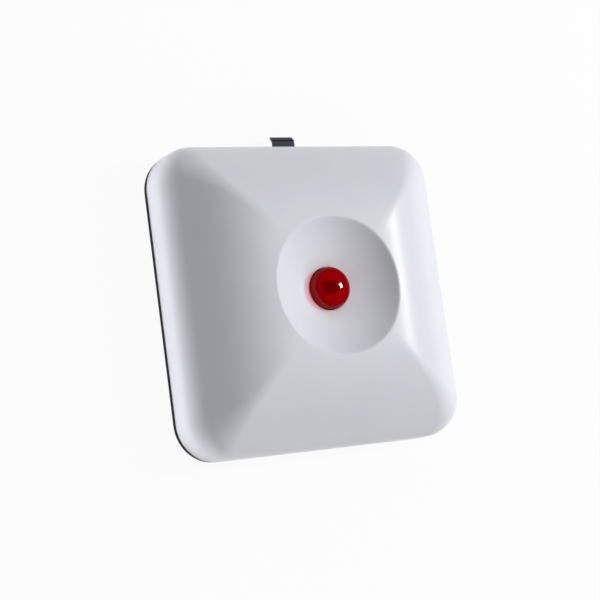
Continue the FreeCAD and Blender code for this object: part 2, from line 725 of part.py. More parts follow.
def circuit_board():
    board = rounded_block(
        -BOARD_WIDTH / 2, BOARD_WIDTH / 2, BOARD_LOW, BOARD_HIGH, BOARD_UNDER, BOARD_TOP, BOARD_CORNER_R
    )
    round_holes = [(SCREW_R + HOLE_GAP, x, y) for x, y in STANDOFFS_SCREWED]
    round_holes += [(PEG_R + WIRE_GAP, x, y) for x, y in STANDOFFS_PEGGED]
    cuts = [rod(radius, BOARD_UNDER, BOARD_TOP, x, y) for radius, x, y in round_holes]
    holes = [(LED_LEG * math.sqrt(0.5) + WIRE_GAP, x, 0) for x in (-LED_PITCH / 2, LED_PITCH / 2)]
    resistors, diodes = component_rows()
    for rows, wire_r in ((resistors, RESISTOR_WIRE_R), (diodes, DIODE_WIRE_R)):
        for x, y in rows:
            holes.append((wire_r + WIRE_GAP, x, y - PART_PITCH / 2))
            holes.append((wire_r + WIRE_GAP, x, y + PART_PITCH / 2))
    pin_r = math.hypot(PIN_WIDTH, CONTACT) / 2
    holes += [(pin_r + WIRE_GAP, x, PIN_Y) for x in way_places()]
    return board.cut(cuts + [lead_hole(radius, x, y) for radius, x, y in holes])


def led():
    """Five millimetre diode lamp: flange with a flat, barrel and round tip."""
    barrel = rod(LED_R, LED_FOOT, LED_TOP - LED_R)
    flange_top = LED_FOOT + LED_FLANGE
    flange = rod(LED_FLANGE_R, LED_FOOT, flange_top)
    flange = flange.cut(box(LED_R, LED_FLANGE_R, -LED_FLANGE_R, LED_FLANGE_R, LED_FOOT, flange_top))
    tip = Part.makeSphere(LED_R, Vector(0, 0, LED_TOP - LED_R))
    return fused([barrel, flange, tip])


def led_leads():
    side = LED_LEG / 2
    return [
        box(x - side, x + side, -side, side, BOARD_UNDER - LEG_TAIL, LED_FOOT)
        for x in (-LED_PITCH / 2, LED_PITCH / 2)
    ]


def led_spacer():
    spacer = rod(LED_FLANGE_R, BOARD_TOP, LED_FOOT)
    hole_r = LED_LEG * math.sqrt(0.5) + WIRE_GAP
    return spacer.cut([rod(hole_r, BOARD_TOP, LED_FOOT, x, 0) for x in (-LED_PITCH / 2, LED_PITCH / 2)])


def along_y(shape, x, y, z):
    """Lays a solid that was made along Z down along Y, with its middle at the given place."""
    shape.rotate(Vector(0, 0, 0), Vector(1, 0, 0), 90)
    shape.translate(Vector(x, y, z))
    return shape


def resistor(x, y):
    """Bulbous ends with a thinner waist between them."""
    half = RESISTOR_LENGTH / 2
    waist_r = RESISTOR_R - RESISTOR_WAIST
    slope = RESISTOR_WAIST
    outline = [
        Vector(0, 0, -half),
        Vector(RESISTOR_R - slope, 0, -half),
        Vector(RESISTOR_R, 0, -half + slope),
        Vector(RESISTOR_R, 0, -half + RESISTOR_CAP),
        Vector(waist_r, 0, -half + RESISTOR_CAP + slope),
        Vector(waist_r, 0, half - RESISTOR_CAP - slope),
        Vector(RESISTOR_R, 0, half - RESISTOR_CAP),
        Vector(RESISTOR_R, 0, half - slope),
        Vector(RESISTOR_R - slope, 0, half),
        Vector(0, 0, half),
    ]
    return along_y(turned(polyline(outline)), x, y, BOARD_TOP + PART_LIFT + RESISTOR_R)


def diode(x, y):
    body = rod(DIODE_R, -DIODE_LENGTH / 2, DIODE_LENGTH / 2)
    return along_y(body, x, y, BOARD_TOP + PART_LIFT + DIODE_R)


def bent_leads(x, y, body_length, body_r, wire_r):
    """Two wires that leave the ends of a lying part, turn down and end below the board."""
    z = BOARD_TOP + PART_LIFT + body_r
    tail = BOARD_UNDER - LEG_TAIL
    leads = []
    for way in (-1, 1):
        points = [
            Vector(x, y + way * body_length / 2, z),
            Vector(x, y + way * PART_PITCH / 2, z),
            Vector(x, y + way * PART_PITCH / 2, tail),
        ]
        leads.append(wire_along(points, WIRE_BEND_R, wire_r))
    return leads


def way_places():
    """Middles of the terminal's ways along X."""
    return [(i - (WAYS - 1) / 2) * WAY_PITCH for i in range(WAYS)]


def terminal_housing():
    half = WAYS * WAY_PITCH / 2 + TERMINAL_END
    back = TERMINAL_FRONT + TERMINAL_DEPTH
    top = BOARD_TOP + TERMINAL_HEIGHT
    outline = [
        (TERMINAL_FRONT, BOARD_TOP),
        (back, BOARD_TOP),
        (back, top),
        (TERMINAL_FRONT + TERMINAL_CHAMFER, top),
        (TERMINAL_FRONT, top - TERMINAL_CHAMFER),
    ]
    cage_half = CAGE_WIDTH / 2 + CAGE_GAP
    pin_half = CONTACT_WIDTH / 2 + CAGE_GAP
    pin_back = PIN_Y + CONTACT / 2 + CAGE_GAP
    mouth = CAGE_WIDTH / 2 - CAGE_WALL + WIRE_MOUTH_LIP
    cage_back = CAGE_FRONT + CAGE_DEPTH + CAGE_GAP
    room = CAGE_HEAD + CAGE_GAP
    cuts = []
    for x in way_places():
        cuts.append(box(x - cage_half, x + cage_half, CAGE_FRONT - CAGE_GAP, cage_back, BOARD_TOP, room))
        cuts.append(box(x - pin_half, x + pin_half, cage_back, pin_back, BOARD_TOP, room))
        cuts.append(box(x - mouth, x + mouth, TERMINAL_FRONT, CAGE_FRONT, CAGE_FOOT, CONTACT_Z))
        cuts.append(rod(CLAMP_R + CLAMP_GAP, CAGE_HEAD, CLAMP_SEAT, x, CAGE_MIDDLE))
        cuts.append(rod(CLAMP_HEAD_R + CLAMP_GAP, CLAMP_SEAT, top, x, CAGE_MIDDLE))
    return prism_x(outline, -half, half).cut(cuts)


def wire_clamp(x):
    """Rising cage of one way: a square tube along Y with a hole in its top for the clamp screw."""
    half = CAGE_WIDTH / 2
    back = CAGE_FRONT + CAGE_DEPTH
    inner = half - CAGE_WALL
    cage = box(x - half, x + half, CAGE_FRONT, back, CAGE_FOOT, CAGE_HEAD)
    window = box(x - inner, x + inner, CAGE_FRONT, back, CAGE_FOOT + CAGE_WALL, CAGE_HEAD - CAGE_TOP)
    hole = rod(CLAMP_R + THREAD_GAP, CAGE_HEAD - CAGE_TOP, CAGE_HEAD, x, CAGE_MIDDLE)
    return cage.cut([window, hole])


def clamp_screw(x):
    """Slotted clamp screw that stands on the contact; its thread is left out."""
    head_top = CLAMP_SEAT + CLAMP_HEAD
    screw = fused([
        rod(CLAMP_R, CONTACT_Z, CLAMP_SEAT, x, CAGE_MIDDLE),
        rod(CLAMP_HEAD_R, CLAMP_SEAT, head_top, x, CAGE_MIDDLE),
    ])
    side, reach = DRIVE_SLOT / 2, CLAMP_HEAD_R
    front, back = CAGE_MIDDLE - side, CAGE_MIDDLE + side
    slot = box(x - reach, x + reach, front, back, head_top - DRIVE_DEPTH, head_top)
    return screw.cut(slot)


def terminal_pin(x):
    """Bent contact: a tongue inside the cage and a solder leg through the board."""
    wide, narrow = CONTACT_WIDTH / 2, PIN_WIDTH / 2
    front, back = CAGE_FRONT + CAGE_GAP, PIN_Y + CONTACT / 2
    tongue = box(x - wide, x + wide, front, back, CONTACT_Z - CONTACT, CONTACT_Z)
    leg = box(x - narrow, x + narrow, back - CONTACT, back, BOARD_UNDER - LEG_TAIL, CONTACT_Z)
    return fused([tongue, leg])


def make_nodes():
    """Every separate piece of the lamp, by name; a list is a group of like solids."""
    resistors, diodes = component_rows()
    nodes = {
        "base": base(),
        "cover": cover(),
        "lens": lens(),
        "lens_ring": lens_ring(),
        "latch_clip": latch_clip(),
        "latch_screw": tapping_screw(TONGUE_FRONT, 0, LATCH_SCREW_Y),
        "circuit_board": circuit_board(),
        "board_screws": [tapping_screw(BOARD_TOP, x, y) for x, y in STANDOFFS_SCREWED],
        "led": led(),
        "led_leads": led_leads(),
        "led_spacer": led_spacer(),
        "terminal_housing": terminal_housing(),
        "terminal_screws": [clamp_screw(x) for x in way_places()],
        "terminal_pins": [terminal_pin(x) for x in way_places()],
        "resistor_leads": [],
        "diode_leads": [],
    }
    for number, x in enumerate(way_places(), 1):
        nodes[f"wire_clamp_{number}"] = wire_clamp(x)
    for number, (x, y) in enumerate(resistors, 1):
        nodes[f"resistor_{number}"] = resistor(x, y)
        nodes["resistor_leads"] += bent_leads(x, y, RESISTOR_LENGTH, RESISTOR_R, RESISTOR_WIRE_R)
    for number, (x, y) in enumerate(diodes, 1):
        nodes[f"diode_{number}"] = diode(x, y)
        nodes["diode_leads"] += bent_leads(x, y, DIODE_LENGTH, DIODE_R, DIODE_WIRE_R)
    return nodes


def main():
    os.makedirs("parts", exist_ok=True)
    for name, shape in make_nodes().items():
        if isinstance(shape, list):
            shape = Part.Compound(shape)
        shape.exportStep(f"parts/{name}.step")
        print(name, len(shape.Solids), round(shape.Volume, 2), shape.isValid())


main()
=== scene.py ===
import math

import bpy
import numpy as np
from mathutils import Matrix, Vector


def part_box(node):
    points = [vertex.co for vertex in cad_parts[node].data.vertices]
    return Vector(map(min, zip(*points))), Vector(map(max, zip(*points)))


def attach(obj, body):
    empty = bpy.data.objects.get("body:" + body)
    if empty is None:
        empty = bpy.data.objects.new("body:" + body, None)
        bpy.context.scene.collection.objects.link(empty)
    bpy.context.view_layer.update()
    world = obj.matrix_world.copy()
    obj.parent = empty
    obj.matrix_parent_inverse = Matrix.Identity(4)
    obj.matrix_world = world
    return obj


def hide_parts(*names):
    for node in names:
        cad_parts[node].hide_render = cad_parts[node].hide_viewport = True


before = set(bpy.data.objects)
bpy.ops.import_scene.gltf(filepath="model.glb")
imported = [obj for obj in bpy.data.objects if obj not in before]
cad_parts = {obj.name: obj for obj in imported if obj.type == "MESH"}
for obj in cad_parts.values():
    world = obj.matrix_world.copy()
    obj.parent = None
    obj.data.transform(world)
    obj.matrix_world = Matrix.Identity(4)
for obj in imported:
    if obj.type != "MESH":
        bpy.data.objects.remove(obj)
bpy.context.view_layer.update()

# %% [markdown]
# # A remote indicator lamp, dressed for a studio picture
#
# The lamp is a white moulded cover on a black tray. Its front is a low pyramid with soft corners, a
# round dish is sunk into the top, and a red lens stands in the middle of the dish. A black latch
# tongue comes out of the upper wall.
#
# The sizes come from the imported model, which is already in place. Here the pieces that show get a
# finer surface, and every piece gets the finish of its real material.

# %% [markdown]
# ## Reckoning with node sockets
#
# A finish is a small sum of patterns. Written node by node, such a sum is long and hard to read. The
# class below wraps one socket, so that `1 - mask * 0.2` adds its Math nodes by itself. A second class
# holds a material, and its one method adds any node with its settings and its sockets.

# %% Helpers for finishes
class Value:
    """A number in a node tree. Sums and products of it add Math nodes."""

    def __init__(self, finish, socket):
        self.finish = finish
        self.socket = socket

    def combine(self, operation, first, second):
        return self.finish.node("ShaderNodeMath", {0: first, 1: second}, operation=operation)

    def __add__(self, other):
        return self.combine("ADD", self, other)

    def __radd__(self, other):
        return self.combine("ADD", other, self)

    def __sub__(self, other):
        return self.combine("SUBTRACT", self, other)

    def __rsub__(self, other):
        return self.combine("SUBTRACT", other, self)

    def __mul__(self, other):
        return self.combine("MULTIPLY", self, other)

    def __rmul__(self, other):
        return self.combine("MULTIPLY", other, self)


class Finish:
    """A material under construction."""

    def __init__(self, name):
        self.material = bpy.data.materials.new(name)
        self.material.use_nodes = True
        self.tree = self.material.node_tree
        self.tree.nodes.clear()

    def node(self, kind, sockets, output=0, **settings):
        """Add a node of a type, make its settings, then set or link its sockets, by name or number."""
        made = self.tree.nodes.new(kind)
        for name, setting in settings.items():
            setattr(made, name, setting)
        for key, value in sockets.items():
            if isinstance(value, Value):
                self.tree.links.new(value.socket, made.inputs[key])
            else:
                made.inputs[key].default_value = value
        return Value(self, made.outputs[output]) if made.outputs else None

    def place(self):
        """Where a point is on the piece, in metres."""
        return self.node("ShaderNodeTexCoord", {}, output=3)

    def noise(self, scale, detail=2.0):
        """Cloudy pattern between 0 and 1 with so many clouds to the metre."""
        sockets = {"Vector": self.place(), "Scale": scale, "Detail": detail}
        return self.node("ShaderNodeTexNoise", sockets)

    def blend(self, share, first, second):
        """Colour between two colours."""
        return self.node("ShaderNodeMix", {0: share, 6: first, 7: second}, output=2, data_type="RGBA")

    def grain(self, height, depth):
        """Surface normal over a relief of the given depth in metres."""
        return self.node("ShaderNodeBump", {"Strength": 1.0, "Distance": depth, "Height": height})

    def ray(self, kind):
        """1 for rays of a kind, such as Is Camera Ray, else 0."""
        return self.node("ShaderNodeLightPath", {}, output=kind)

    def mix(self, share, first, second):
        """Shader between two shaders."""
        return self.node("ShaderNodeMixShader", {0: share, 1: first, 2: second})

    def close(self, shader):
        self.node("ShaderNodeOutputMaterial", {"Surface": shader})
        print("finish:", self.material.name, "with", len(self.tree.nodes), "nodes")
        return self.material


def shade(red, green, blue):
    """Colour of a material from its sRGB value, 0 to 255."""
    screen = np.array([red, green, blue]) / 255
    light = np.where(screen <= 0.04045, screen / 12.92, ((screen + 0.055) / 1.055) ** 2.4)
    return (*[float(v) for v in light], 1.0)


# %% [markdown]
# ## Surfaces from grids
#
# Each new piece is a grid of points: rows along a profile, columns around the piece. Numpy works out
# all the points at once, and the faces join each point to its neighbours. The last column joins the
# first again, so there is no seam.

# %% Helpers for surfaces
def grid_quads(rows, columns):
    """Corner numbers of the quads of a grid that closes on itself around its columns."""
    row, column = np.meshgrid(np.arange(rows - 1), np.arange(columns), indexing="ij")
    after = (column + 1) % columns
    start, end = row * columns, (row + 1) * columns
    corners = (start + column, start + after, end + after, end + column)
    return np.stack(corners, axis=-1).reshape(-1, 4)


def piece(name, points, faces, material, slot, *nodes):
    """Make a smooth-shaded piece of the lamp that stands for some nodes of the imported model."""
    mesh = bpy.data.meshes.new(name)
    mesh.from_pydata(points.reshape(-1, 3).tolist(), [], faces)
    mesh.polygons.foreach_set("use_smooth", np.ones(len(mesh.polygons), bool))
    mesh.materials.append(material)
    made = bpy.data.objects.new(name, mesh)
    bpy.context.collection.objects.link(made)
    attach(made, "root")
    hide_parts(*nodes)
    print("piece:", name, "with", len(mesh.polygons), "faces")
    return made


def dress(material, *nodes):
    """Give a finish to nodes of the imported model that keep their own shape."""
    for name in nodes:
        for material_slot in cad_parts[name].material_slots:
            material_slot.material = material


def turned(profile, columns):
    """Points of a profile of (radius, height) pairs carried round the vertical axis."""
    angle = np.arange(columns) * 2 * np.pi / columns
    radius, height = np.array(profile).T
    x = radius[:, None] * np.cos(angle)
    y = radius[:, None] * np.sin(angle)
    z = np.repeat(height[:, None], columns, axis=1)
    return np.stack([x, y, z], axis=-1)


def closed_shell(profile, columns, head, tail):
    """Points and faces of a turned shell, drawn from a pole at the head height to one at the tail."""
    points = turned(profile, columns).reshape(-1, 3)
    column = np.arange(columns)
    after = (column + 1) % columns
    last = (len(profile) - 1) * columns
    top_fan = np.stack([column, after, np.full(columns, len(points))], axis=-1)
    end_fan = np.stack([last + after, last + column, np.full(columns, len(points) + 1)], axis=-1)
    sides = grid_quads(len(profile), columns)[:, ::-1]
    faces = sides.tolist() + top_fan.tolist() + end_fan.tolist()
    return np.concatenate([points, [[0, 0, head], [0, 0, tail]]]), faces


# %% [markdown]
# ## The cover's profile
#
# Cut through the middle of a side, the cover shows a nearly upright wall, a wide round shoulder, and a
# face that climbs inwards and gets gentler all the way, until it is nearly level at the dish. So the
# slope is the natural thing to write down: it is nothing at the level top and eases out and in again
# until it is steepest at the shoulder. The heights are its running sum, from the top outwards. The
# shoulder is an arc that touches both the wall and the foot of the face, and its centre is where the
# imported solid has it.

# %% Profile of the cover
low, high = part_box("cover")
HALF = float(high[0])
EDGE_Z = float(low[2])
TOP_Z = float(high[2])
WALL = 0.0022
DRAFT = math.radians(0.75)
SHOULDER_R = 0.0093
SHOULDER_Z = 0.00732
FACE_SLOPE = math.radians(39.0)
LEVEL_HALF = 0.0120

reach = HALF + (EDGE_Z - SHOULDER_Z) * math.tan(DRAFT) - SHOULDER_R / math.cos(DRAFT)
shoulder_centre = np.array([reach, SHOULDER_Z])
foot_half, foot_z = shoulder_centre + SHOULDER_R * np.array([math.sin(FACE_SLOPE), math.cos(FACE_SLOPE)])

halves = np.linspace(0, foot_half, 801)
outwards = np.clip((halves - LEVEL_HALF) / (foot_half - LEVEL_HALF), 0, 1)
slopes = FACE_SLOPE * outwards ** 2 * (3 - 2 * outwards)
drops = np.concatenate([[0], np.cumsum(np.tan(slopes[1:]) * np.diff(halves))])
heights = TOP_Z - drops * (TOP_Z - foot_z) / drops[-1]


def skin_height(half):
    """Height of the top where its square outline has a half width: the running sum of the slope."""
    return np.interp(half, halves, heights)


print("face foot at half width", round(foot_half, 5), "and height", round(foot_z, 5))
print("drop of the face", round(TOP_Z - foot_z, 5), "and as summed", round(drops[-1], 5))

# %% [markdown]
# ## The plan of the cover
#
# Seen from the front, every level of the cover is a square with round corners. The corner is wide at
# the wall and gets tighter up the face, which makes the four ridges grow sharper towards the dish. A
# point of such an outline is found by walking out from the middle at a set angle until the side or the
# corner arc is met. The angles lie closer together near the corners, where the outline turns.

# %% Plan of the cover
CORNER_R = 0.0105
RIDGE_FOOT_R = 0.0068
RIDGE_HEAD_R = 0.0015
HEAD_HALF = 0.0218
COLUMNS = 448
CROWDING = 0.62

turns = np.arange(COLUMNS) * 2 * np.pi / COLUMNS
angles = turns + CROWDING / 4 * np.sin(4 * turns)


def outline_reach(angle, half, corner_r):
    """Distance to a rounded square: half / cos on a side, else the far root of the corner's circle."""
    across = np.abs(np.cos(angle))
    along = np.abs(np.sin(angle))
    big, small = np.maximum(across, along), np.minimum(across, along)
    core = half - corner_r
    both = big + small
    corner = core * both + np.sqrt(np.maximum((core * both) ** 2 - 2 * core ** 2 + corner_r ** 2, 0))
    return np.where(half * small / big <= core, half / big, corner)


def outline_half(x, y, corner_r):
    """Half width of the rounded square through a point, with a set corner radius."""
    big, small = np.maximum(np.abs(x), np.abs(y)), np.minimum(np.abs(x), np.abs(y))
    gap = big - small
    corner = corner_r + (big + small - np.sqrt(np.maximum(2 * corner_r ** 2 - gap ** 2, 0))) / 2
    return np.where(gap < corner_r, corner, big)


def level(half, height, corner_r, angle):
    """One row of the grid: a rounded square at a height."""
    reach = outline_reach(angle, half, corner_r)
    return np.stack([reach * np.cos(angle), reach * np.sin(angle), np.full_like(reach, height)], axis=-1)


# %% [markdown]
# ## The skin from the wall to the lens hole
#
# The rows start at the cover's lower edge, climb the wall, go round the shoulder and up the face. From
# there the plan changes evenly from a square into the dish's circle, while the height is still that of
# the face or the land at each point, so the land stays flat between the crown and the rim. The dish is
# part of a ball. At the rim the lower of the two surfaces counts, softened over a third of a
# millimetre, because a moulded edge is never knife sharp.

# %% Rows of the cover's skin
DISH_R = 0.0184
DISH_DEPTH = 0.0070
RIM_SOFT = 0.00036
RIM_OUTER = 0.0005
RIM_INNER = 0.0006
LAND_FROM = 0.001
LENS_HOLE_R = 0.0057
NOTCH_HALF = 0.00365
NOTCH_TOP = 0.0053

ball_r = (DISH_R ** 2 + DISH_DEPTH ** 2) / (2 * DISH_DEPTH)
ball_z = TOP_Z - DISH_DEPTH + ball_r


def soft_lower(first, second, width):
    """The lower of two heights, rounded off where they are less than a width apart."""
    near = np.clip(0.5 + 0.5 * (second - first) / width, 0, 1)
    return second + (first - second) * near - width * near * (1 - near)


def front_height(x, y):
    """Height of land and dish together at a point of the plan."""
    radius = np.hypot(x, y)
    ball = ball_z - np.sqrt(ball_r ** 2 - np.minimum(radius, 0.9 * ball_r) ** 2)
    land = skin_height(outline_half(x, y, RIDGE_HEAD_R))
    return np.where(radius > DISH_R + LAND_FROM, land, soft_lower(land, ball, RIM_SOFT))


def skin_rows(angle):
    """All rows of the skin over the given angles, from the lower edge to the lens hole."""
    rows = []
    wall_top = shoulder_centre[1] + SHOULDER_R * math.sin(DRAFT)
    for z in np.concatenate([np.linspace(EDGE_Z, NOTCH_TOP, 4), np.linspace(NOTCH_TOP, wall_top, 4)[1:]]):
        rows.append(level(HALF - (z - EDGE_Z) * math.tan(DRAFT), z, CORNER_R, angle))
    last = math.pi / 2 - FACE_SLOPE
    for turn in np.linspace(DRAFT, last, 19)[1:]:
        moved_in = (math.cos(DRAFT) - math.cos(turn)) / (math.cos(DRAFT) - math.cos(last))
        half, z = shoulder_centre + SHOULDER_R * np.array([math.cos(turn), math.sin(turn)])
        rows.append(level(half, z, CORNER_R + (RIDGE_FOOT_R - CORNER_R) * moved_in, angle))
    for half in np.linspace(foot_half, HEAD_HALF, 25)[1:]:
        climb = (half - HEAD_HALF) / (foot_half - HEAD_HALF)
        corner_r = RIDGE_HEAD_R + (RIDGE_FOOT_R - RIDGE_HEAD_R) * climb ** 2
        rows.append(level(half, float(skin_height(half)), corner_r, angle))
    square = outline_reach(angle, HEAD_HALF, RIDGE_HEAD_R)
    circle = DISH_R + RIM_INNER
    outside = [square + (circle - square) * share for share in np.linspace(0, 1, 13)[1:]]
    across_rim = np.linspace(RIM_OUTER, -RIM_INNER, 12) + DISH_R
    inside = np.linspace(DISH_R - RIM_INNER, LENS_HOLE_R, 22)[1:]
    circles = [np.full_like(square, radius) for radius in [*across_rim, *inside]]
    for reach in outside + circles:
        x, y = reach * np.cos(angle), reach * np.sin(angle)
        rows.append(np.stack([x, y, front_height(x, y)], axis=-1))
    return np.stack(rows)


notch_angle = math.atan2(HALF, NOTCH_HALF)
for side in (notch_angle, math.pi - notch_angle):
    angles[np.argmin(np.abs(angles - side))] = side
skin = skin_rows(angles)
print("skin of", skin.shape[0], "rows and", skin.shape[1], "columns")

# %% [markdown]
# ## White moulded plastic
#
# The cover is white plastic with a soft gloss. Real mouldings aren't evenly glossy: the polish of the
# tool varies a little, and the surface has a very shallow ripple. One cloudy pattern steers roughness
# and, hardly visibly, the colour. A finer and much shallower one moves the surface normal, so that
# reflections aren't perfect. Both say how many clouds there are to the metre.

# %% Finish of the cover
CLOUDS = 90.0
FINE_CLOUDS = 1400.0


def moulded(name, colour, other, roughness, gloss, ripple):
    """Moulded plastic: cloudy colour and roughness, shallow ripple, a clear outer skin."""
    finish = Finish(name)
    cloud = finish.noise(CLOUDS)
    fine = finish.noise(FINE_CLOUDS, 3.0)
    shader = finish.node("ShaderNodeBsdfPrincipled", {
        "Base Color": finish.blend(cloud, colour, other),
        "Roughness": roughness + cloud * 0.06,
        "Specular IOR Level": 0.18,
        "Coat Weight": gloss,
        "Coat Roughness": 0.2,
        "Normal": finish.grain(fine, ripple),
    })
    return finish.close(shader)


cover_white = moulded("cover_white", shade(235, 237, 244), shade(230, 232, 240), 0.34, 0.06, 0.000002)

# %% [markdown]
# ## The cover
#
# The skin is one grid. The quads in the notch for the latch tongue are left out, at the middle of the
# upper wall, and Solidify then gives the whole skin the wall's thickness inwards and closes every
# edge: the lower rim, the notch and the lens hole.

# %% Cover with its wall
quads = grid_quads(*skin.shape[:2])
middles = skin.reshape(-1, 3)[quads].mean(axis=1)
in_notch = (np.abs(middles[:, 0]) < NOTCH_HALF) & (middles[:, 1] > 0) & (middles[:, 2] < NOTCH_TOP)
cover = piece("cover_shell", skin, quads[~in_notch].tolist(), cover_white, "cover_white", "cover")
wall = cover.modifiers.new("wall", "SOLIDIFY")
wall.thickness = WALL
wall.offset = -1.0
wall.use_even_offset = True
print("notch of", int(in_notch.sum()), "quads left open")

# %% [markdown]
# ## The lens
#
# A red lens stands out of the dish. It is a thin hollow shell of clear red plastic with a low dome, a
# round shoulder, an upright wall and a flange behind the dish. Its outline is drawn as one closed
# profile, outside down and inside up again, and carried round the axis. The dome and the shoulder are
# two arcs that touch. Their centres are as far apart as their radii differ, and that gives the height
# of the shoulder. Short bevels soften the two corners of the flange.

# %% Lens profile
low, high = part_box("lens")
LENS_TOP = float(high[2])
LENS_FOOT = float(low[2])
FLANGE_R = float(high[0])
FLANGE = 0.0012
FLANGE_BEVEL = 0.0001
LENS_R = 0.0055
LENS_BALL = 0.0110
LENS_SHOULDER = 0.0018
LENS_WALL = 0.0012
INNER_SHOULDER = 0.0003
LENS_COLUMNS = 128


def lens_arcs(radius, ball, shoulder, top, count):
    """Points from near the top, down a dome arc and round a shoulder arc to an upright wall."""
    centre_r = radius - shoulder
    centre_z = top - ball + math.sqrt((ball - shoulder) ** 2 - centre_r ** 2)
    meeting = math.asin(centre_r / (ball - shoulder))
    sweep = np.linspace(0, meeting, count)[1:]
    bend = np.linspace(meeting, math.pi / 2, count // 2)[1:]
    dome = [(ball * math.sin(a), top - ball + ball * math.cos(a)) for a in sweep]
    return dome + [(centre_r + shoulder * math.sin(a), centre_z + shoulder * math.cos(a)) for a in bend]


inner_r = LENS_R - LENS_WALL
outside = lens_arcs(LENS_R, LENS_BALL, LENS_SHOULDER, LENS_TOP, 28)
inside = lens_arcs(inner_r, LENS_BALL - LENS_WALL, INNER_SHOULDER, LENS_TOP - LENS_WALL, 20)
rings = outside + [(LENS_R, z) for z in np.linspace(outside[-1][1], LENS_FOOT + FLANGE, 6)[1:]]
rings += [(FLANGE_R - FLANGE_BEVEL, LENS_FOOT + FLANGE), (FLANGE_R, LENS_FOOT + FLANGE - FLANGE_BEVEL)]
rings += [(FLANGE_R, LENS_FOOT + FLANGE_BEVEL), (FLANGE_R - FLANGE_BEVEL, LENS_FOOT)]
rings += [(inner_r, LENS_FOOT)]
rings += [(inner_r, z) for z in np.linspace(LENS_FOOT, inside[-1][1], 6)[1:-1]]
rings += inside[::-1]
print("lens profile of", len(rings), "rings")

# %% [markdown]
# ## Red plastic
#
# The lens is tinted right through and a little cloudy, so that it lights up evenly. A part of the
# light therefore passes and another part comes back red. In the middle the diode lamp stands close
# behind the shell, and its shade is painted into the lens colour as a dark heart with soft edges. The
# painted shade is a mask on the place on the lens: the fourth powers of the two distances from its
# middle, added, are small inside a rectangle with round corners. It lies a little off the axis, where
# the photograph shows it. The surface is polished, with a faint ripple.
#
# Seen at a slant, the light's way through the wall is longer and the red is deeper. The Facing output
# of Layer Weight says how much a surface is turned away, and it blends in the deeper red. It also mixes
# in a plain matt red, so that the slanting edge doesn't mirror the white dish.
#
# Cycles lets no light fall straight through a refracting shell, so the lens would cast a black shadow.
# For shadow rays a share of the surface is therefore see-through and tinted. The shadow of the lens
# turns pale and reddish, as it is beside a real one, and the diode lamp inside gets some light.

# %% Finish and piece of the lens
# Painted shade: place and size of the dark heart where the diode lamp behind darkens the lens.
HEART_MIDDLE = (-0.00138, -0.00019)
HEART_HALF = (0.00250, 0.00175)
GLOW_SHARE = 0.88
EDGE_SHARE = 0.8
DULL_SHARE = 0.85


def heart_shade_mask(finish):
    """Where the diode lamp's shade is painted: 1 in the middle of a soft rounded rectangle, 0 outside it.
    """
    parts = []
    for axis in (0, 1):
        position = finish.node("ShaderNodeSeparateXYZ", {0: finish.place()}, output=axis)
        away = (position - HEART_MIDDLE[axis]) * (1 / HEART_HALF[axis])
        square = away * away
        parts.append(square * square)
    steps = {"From Min": 0.1, "From Max": 1.6, "To Min": 1.0, "To Max": 0.0}
    sockets = {"Value": parts[0] + parts[1], **steps}
    return finish.node("ShaderNodeMapRange", sockets, interpolation_type="SMOOTHSTEP")


def tinted(name, colour, other, deep, passing, roughness, glow, heart=None):
    """Tinted plastic, deeper at its edges, that lets light pass, and may have a dark heart of painted
    shade.
    """
    finish = Finish(name)
    cloud = finish.noise(160.0)
    tint = finish.blend(cloud, colour, other)
    # Painted shade: the heart colour darkens the lens where the diode lamp behind it takes the light.
    if heart:
        tint = finish.blend(heart_shade_mask(finish), tint, heart)
    edge = finish.node("ShaderNodeLayerWeight", {"Blend": 0.5}, output="Facing")
    tint = finish.blend(edge * EDGE_SHARE, tint, deep)
    shader = finish.node("ShaderNodeBsdfPrincipled", {
        "Base Color": tint,
        "Roughness": roughness + cloud * 0.02,
        "IOR": 1.49,
        "Specular IOR Level": 0.15,
        "Transmission Weight": passing,
        "Normal": finish.grain(cloud, 0.000004),
    })
    body = finish.node("ShaderNodeBsdfDiffuse", {"Color": deep})
    duller = finish.mix(edge * DULL_SHARE, shader, body)
    clear = finish.node("ShaderNodeBsdfTransparent", {"Color": glow})
    return finish.close(finish.mix(finish.ray("Is Shadow Ray") * GLOW_SHARE, duller, clear))


red, other_red, deep_red = shade(197, 3, 12), shade(190, 2, 10), shade(112, 2, 10)
# The heart colour is the painted shade of the diode lamp behind the lens.
lens_glow, heart_shade_red = shade(255, 222, 222), shade(138, 2, 6)
lens_red = tinted("lens_red", red, other_red, deep_red, 0.25, 0.03, lens_glow, heart_shade_red)
lens_points, lens_faces = closed_shell(rings, LENS_COLUMNS, LENS_TOP, LENS_TOP - LENS_WALL)
piece("lens_dome", lens_points, lens_faces, lens_red, "lens_red", "lens")

# %% [markdown]
# ## The dark pieces: base, latch and spacer
#
# The tray behind the cover is black plastic from a lightly textured tool, so it is duller than the
# cover. The latch is spring steel with a black finish: metal that shows through as a soft sheen, with
# fine lines along the strip from rolling.

# %% Finishes of the dark pieces
LINES = (9000.0, 300.0, 300.0)


def black_steel(name):
    """Blackened spring steel: dark metal with fine lines across X and a cloudy sheen."""
    finish = Finish(name)
    cloud = finish.noise(300.0)
    where = finish.place()
    narrowed = finish.node("ShaderNodeMapping", {"Vector": where, "Scale": LINES})
    lines = finish.node("ShaderNodeTexNoise", {"Vector": narrowed, "Scale": 1.0, "Detail": 2.0})
    shader = finish.node("ShaderNodeBsdfPrincipled", {
        "Base Color": finish.blend(cloud, shade(38, 43, 52), shade(50, 56, 66)),
        "Metallic": 0.6,
        "Roughness": 0.34 + lines * 0.12,
        "Normal": finish.grain(lines, 0.000003),
    })
    return finish.close(shader)


